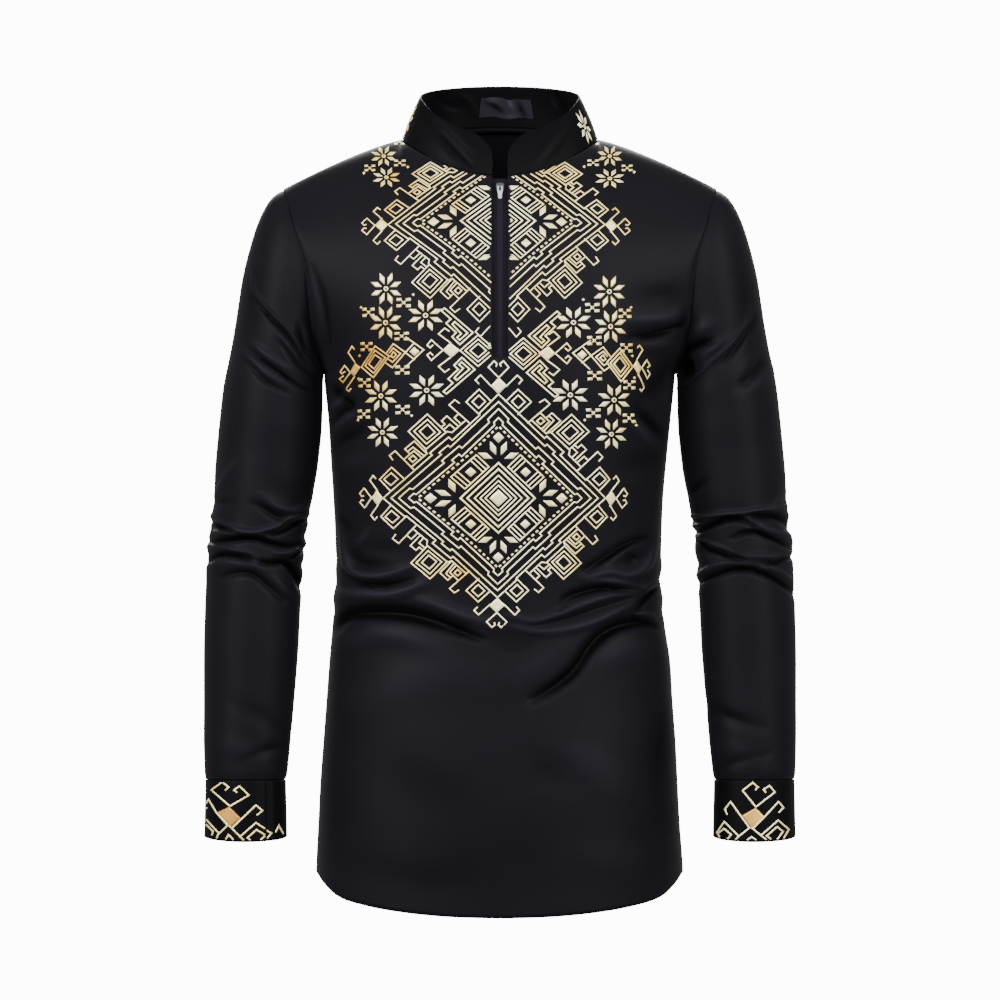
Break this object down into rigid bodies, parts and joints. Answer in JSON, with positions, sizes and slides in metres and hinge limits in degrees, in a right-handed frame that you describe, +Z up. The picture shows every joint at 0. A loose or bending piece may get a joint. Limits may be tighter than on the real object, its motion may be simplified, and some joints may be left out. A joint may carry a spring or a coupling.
{
  "type": "dashiki shirt, long-sleeved half-zip tunic",
  "caption": "Filled-out dark satin dashiki-style pullover shirt with stand collar, half zip, long cuffed sleeves, curved hem and geometric foil print.",
  "frame": {"origin": "in the middle of the neck, level with the two high shoulder points on which the wearer carries the shirt", "axes": "+Z up along the wearer's body, -Y towards the front with the zip, +X towards the wearer's left arm"},
  "size_m": [0.5922, 0.2519, 0.8315],
  "materials": {
    "body_satin": "black satin weave with soft sheen",
    "band_satin": "black satin weave, two layers",
    "label_satin": "dark grey satin ribbon, blank",
    "zip_tape": "matte black woven tape",
    "zip_metal": "polished nickel"
  },
  "bodies": {
    "shirt": {"front_body": "body_satin", "back_body": "body_satin", "sleeve_wearer_right": "body_satin", "sleeve_wearer_left": "body_satin", "cuff_wearer_right": "band_satin", "cuff_wearer_left": "band_satin", "collar": "band_satin", "neck_label": "label_satin", "zip_tape_wearer_right": "zip_tape", "zip_tape_wearer_left": "zip_tape", "zip_slider": "zip_metal"},
    "zip_tab": {"zip_pull": "zip_metal"}
  },
  "joints": [
    {"name": "zip_tab_swing", "type": "hinge", "parent": "shirt", "child": "zip_tab", "pos_m": [0, -0.08384, -0.04745], "axis": [-1, 0, 0], "range_deg": [0, 160]}
  ]
}
